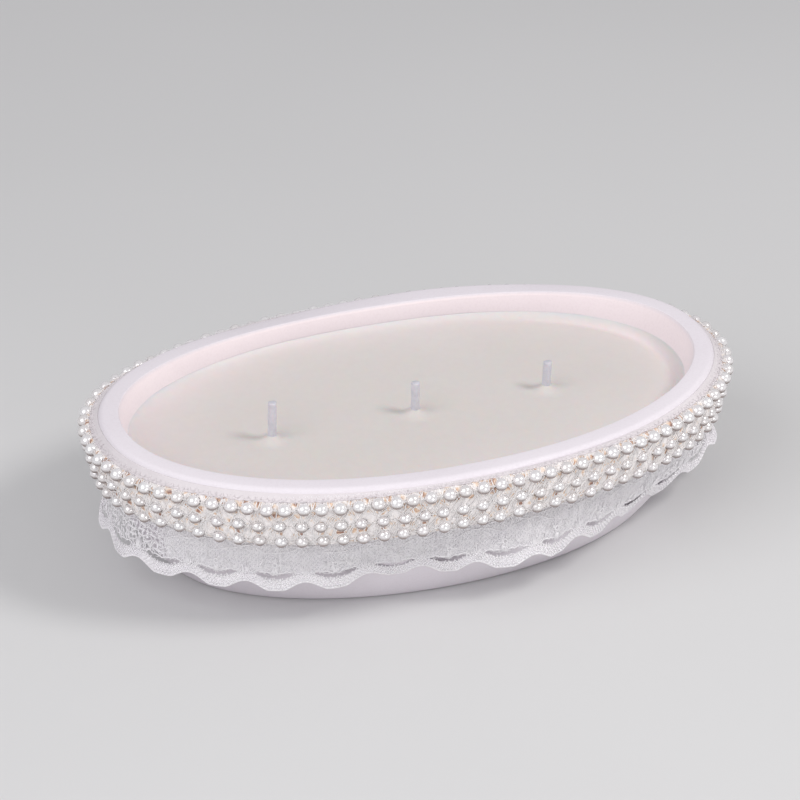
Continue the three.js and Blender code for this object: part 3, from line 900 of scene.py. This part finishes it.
def make_lacing(material):
    """The strings through the pearls, slanting threads that cover the tape's ground, and loops over
    each pearl of the two lower rows."""
    build = Build()
    steps = 960
    around = (np.arange(steps) / steps)[None]
    for row, count in PEARL_ROWS:
        for phase in (0, math.pi):
            wind = 2 * math.pi * around * count * 3 + phase
            z, out = row_height(row) + 0.3 * MM * np.cos(wind), row_out(row) + 0.3 * MM * np.sin(wind)
            band_tubes(build, around, z, out, 0.24 * MM, closed=True)
        share, height, _ = (column[:, None] for column in PEARL_PLACES[row])
        if row == "top":
            continue
        turn = np.linspace(-1.9, 1.9, 14)[None]
        for reach, back in ((0.24, 0.25), (0.55, 0.6)):
            uneven = rng.uniform(0, 0.12, (count, 1)) + 0.06 * np.sin(3 * turn)
            radius = PEARL_RADII[row] + (reach + uneven) * MM
            along = share + radius * np.sin(turn) / RIM_LENGTH
            z = height + radius * np.cos(turn)
            band_tubes(build, along, z, row_out(row) - back * MM, 0.30 * MM)
    low, high = TAPE_LOW.z, GROUND_TOP - 0.2 * MM
    t = np.linspace(0, 1, 27)[None]
    for direction in (1, -1):
        start = (np.arange(360) + rng.uniform(-0.5, 0.5, 360))[:, None] / 360
        z = low + t * (high - low)
        slope = rng.uniform(0.0, 0.9, (360, 1))
        drift = np.cumsum(rng.normal(0, 0.28 * MM, z.shape), axis=1)
        along = start + direction * (slope * (z - low) + drift) / RIM_LENGTH
        band_tubes(build, along, z, ground_out(along, z) + (0.12 + 0.08 * direction) * MM, 0.24 * MM)
    lacing = build.object("pearl_lacing", material)
    return lacing


def make_fuzz(material, fibres=1500):
    """Loose fibre ends round the tape's upper edge and between the pearls."""
    build = Build()
    low, high = TAPE_LOW.z, GROUND_TOP
    share = rng.uniform(0, 1, (fibres, 1))
    upper = rng.uniform(size=(fibres, 1)) < 0.3
    z = np.where(upper, high, rng.uniform(low, high, (fibres, 1)))
    t = np.linspace(0, 1, 6)[None]
    one = (fibres, 1)
    along = share + (rng.normal(0, 2.2, one) * t + rng.normal(0, 0.8, one) * t ** 2) * MM / RIM_LENGTH
    rise = z + (rng.normal(0.2, 0.8, one) * t + rng.normal(0, 0.5, one) * t ** 2) * MM
    out = ground_out(along, np.clip(rise, low, high)) + rng.uniform(0.4, 1.8, one) * np.sin(t * 2.2) * MM
    band_tubes(build, along, np.minimum(rise, high + 0.3 * MM), out, 0.07 * MM)
    fuzz = build.object("tape_fibres", material)
    return fuzz


# ---------------------------------------------------------------- studio
def make_camera():
    """A long lens at the front left, looking down at 29 degrees."""
    azimuth, elevation = math.radians(-20.69), math.radians(28.994)
    distance, lens = 1.356, 161.18
    back = Vector((math.sin(azimuth) * math.cos(elevation), -math.cos(azimuth) * math.cos(elevation),
                   math.sin(elevation)))
    right = Vector((math.cos(azimuth), math.sin(azimuth), 0))
    up = back.cross(right)
    centre = Vector((0, 0, RIM_Z))
    target = centre - right * 4.05 * MM - up * 7.65 * MM
    camera = bpy.data.objects.new("camera", bpy.data.cameras.new("camera"))
    camera.location = centre + back * distance
    camera.rotation_euler = (target - camera.location).to_track_quat("-Z", "Y").to_euler()
    camera.data.lens = lens
    camera.data.sensor_width = 36
    camera.data.clip_start, camera.data.clip_end = 0.05, 20
    bpy.context.scene.collection.objects.link(camera)
    bpy.context.scene.camera = camera


def make_light(name, azimuth, elevation, distance, size, energy, colour=(1, 1, 1)):
    """A soft disc lamp aimed at the candle; azimuth runs from the front towards the right."""
    data = bpy.data.lights.new(name, "AREA")
    data.shape, data.size, data.energy, data.color = "DISK", size, energy, colour
    lamp = bpy.data.objects.new(name, data)
    azimuth, elevation = math.radians(azimuth), math.radians(elevation)
    lamp.location = distance * Vector((math.sin(azimuth) * math.cos(elevation),
                                       -math.cos(azimuth) * math.cos(elevation), math.sin(elevation)))
    aim = Vector((0, 0, 0.04)) - lamp.location
    lamp.rotation_euler = aim.to_track_quat("-Z", "Y").to_euler()
    bpy.context.scene.collection.objects.link(lamp)


def make_studio():
    make_light("key_right", 54, 50, 1.3, 0.40, 5.9, (1.0, 0.985, 0.97))
    make_light("softbox_left", -66, 38, 1.3, 1.25, 7.1, (0.985, 0.985, 1.0))
    make_light("fill_front", 10, 5, 1.1, 0.40, 2.4)
    world = bpy.data.worlds.new("studio")
    world.use_nodes = True
    world.node_tree.nodes["Background"].inputs["Color"].default_value = (0.98, 0.97, 1.0, 1)
    world.node_tree.nodes["Background"].inputs["Strength"].default_value = 0.47
    bpy.context.scene.world = world
    bpy.context.scene.view_settings.view_transform = "Standard"
    reach, drop = 6.0, 0.05 * MM
    mesh = bpy.data.meshes.new("floor")
    corners = [(-reach, -reach, -drop), (reach, -reach, -drop), (reach, reach, -drop), (-reach, reach, -drop)]
    mesh.from_pydata(corners, [], [(0, 1, 2, 3)])
    mesh.materials.append(floor_material())
    floor = bpy.data.objects.new("floor", mesh)
    bpy.context.scene.collection.objects.link(floor)


# ---------------------------------------------------------------- the whole candle
make_camera()
make_studio()

make_bowl(cast_bowl_material())
make_wax(wax_material())
wick_look = wick_material()
for side, lean in zip(WICK_SIDES, WICK_LEANS):
    make_wick(side, lean, wick_look)

metal, foam = metal_material(), foam_material()
for side in WICK_SIDES:
    for node, look in ((f"wick_tab_{side}", metal), (f"wick_sticker_{side}", foam)):
        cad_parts[node].data.materials.clear()
        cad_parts[node].data.materials.append(look)

lace_thread = thread_material("lace_cotton", (0.96, 0.935, 0.965), (0.99, 0.97, 0.99), 0.85)
make_lace(lace_thread, tulle_material())
make_heading(thread_material("heading_cotton", (0.75, 0.70, 0.72), (0.79, 0.74, 0.76), 0.85))
make_tape(tape_material())
make_lacing(thread_material("pale_thread", (0.98, 0.935, 0.92), (0.99, 0.965, 0.96), 0.75))
make_fuzz(lace_thread)
pearl_look = pearl_material()
for row, count in PEARL_ROWS:
    make_pearls(row, pearl_look)
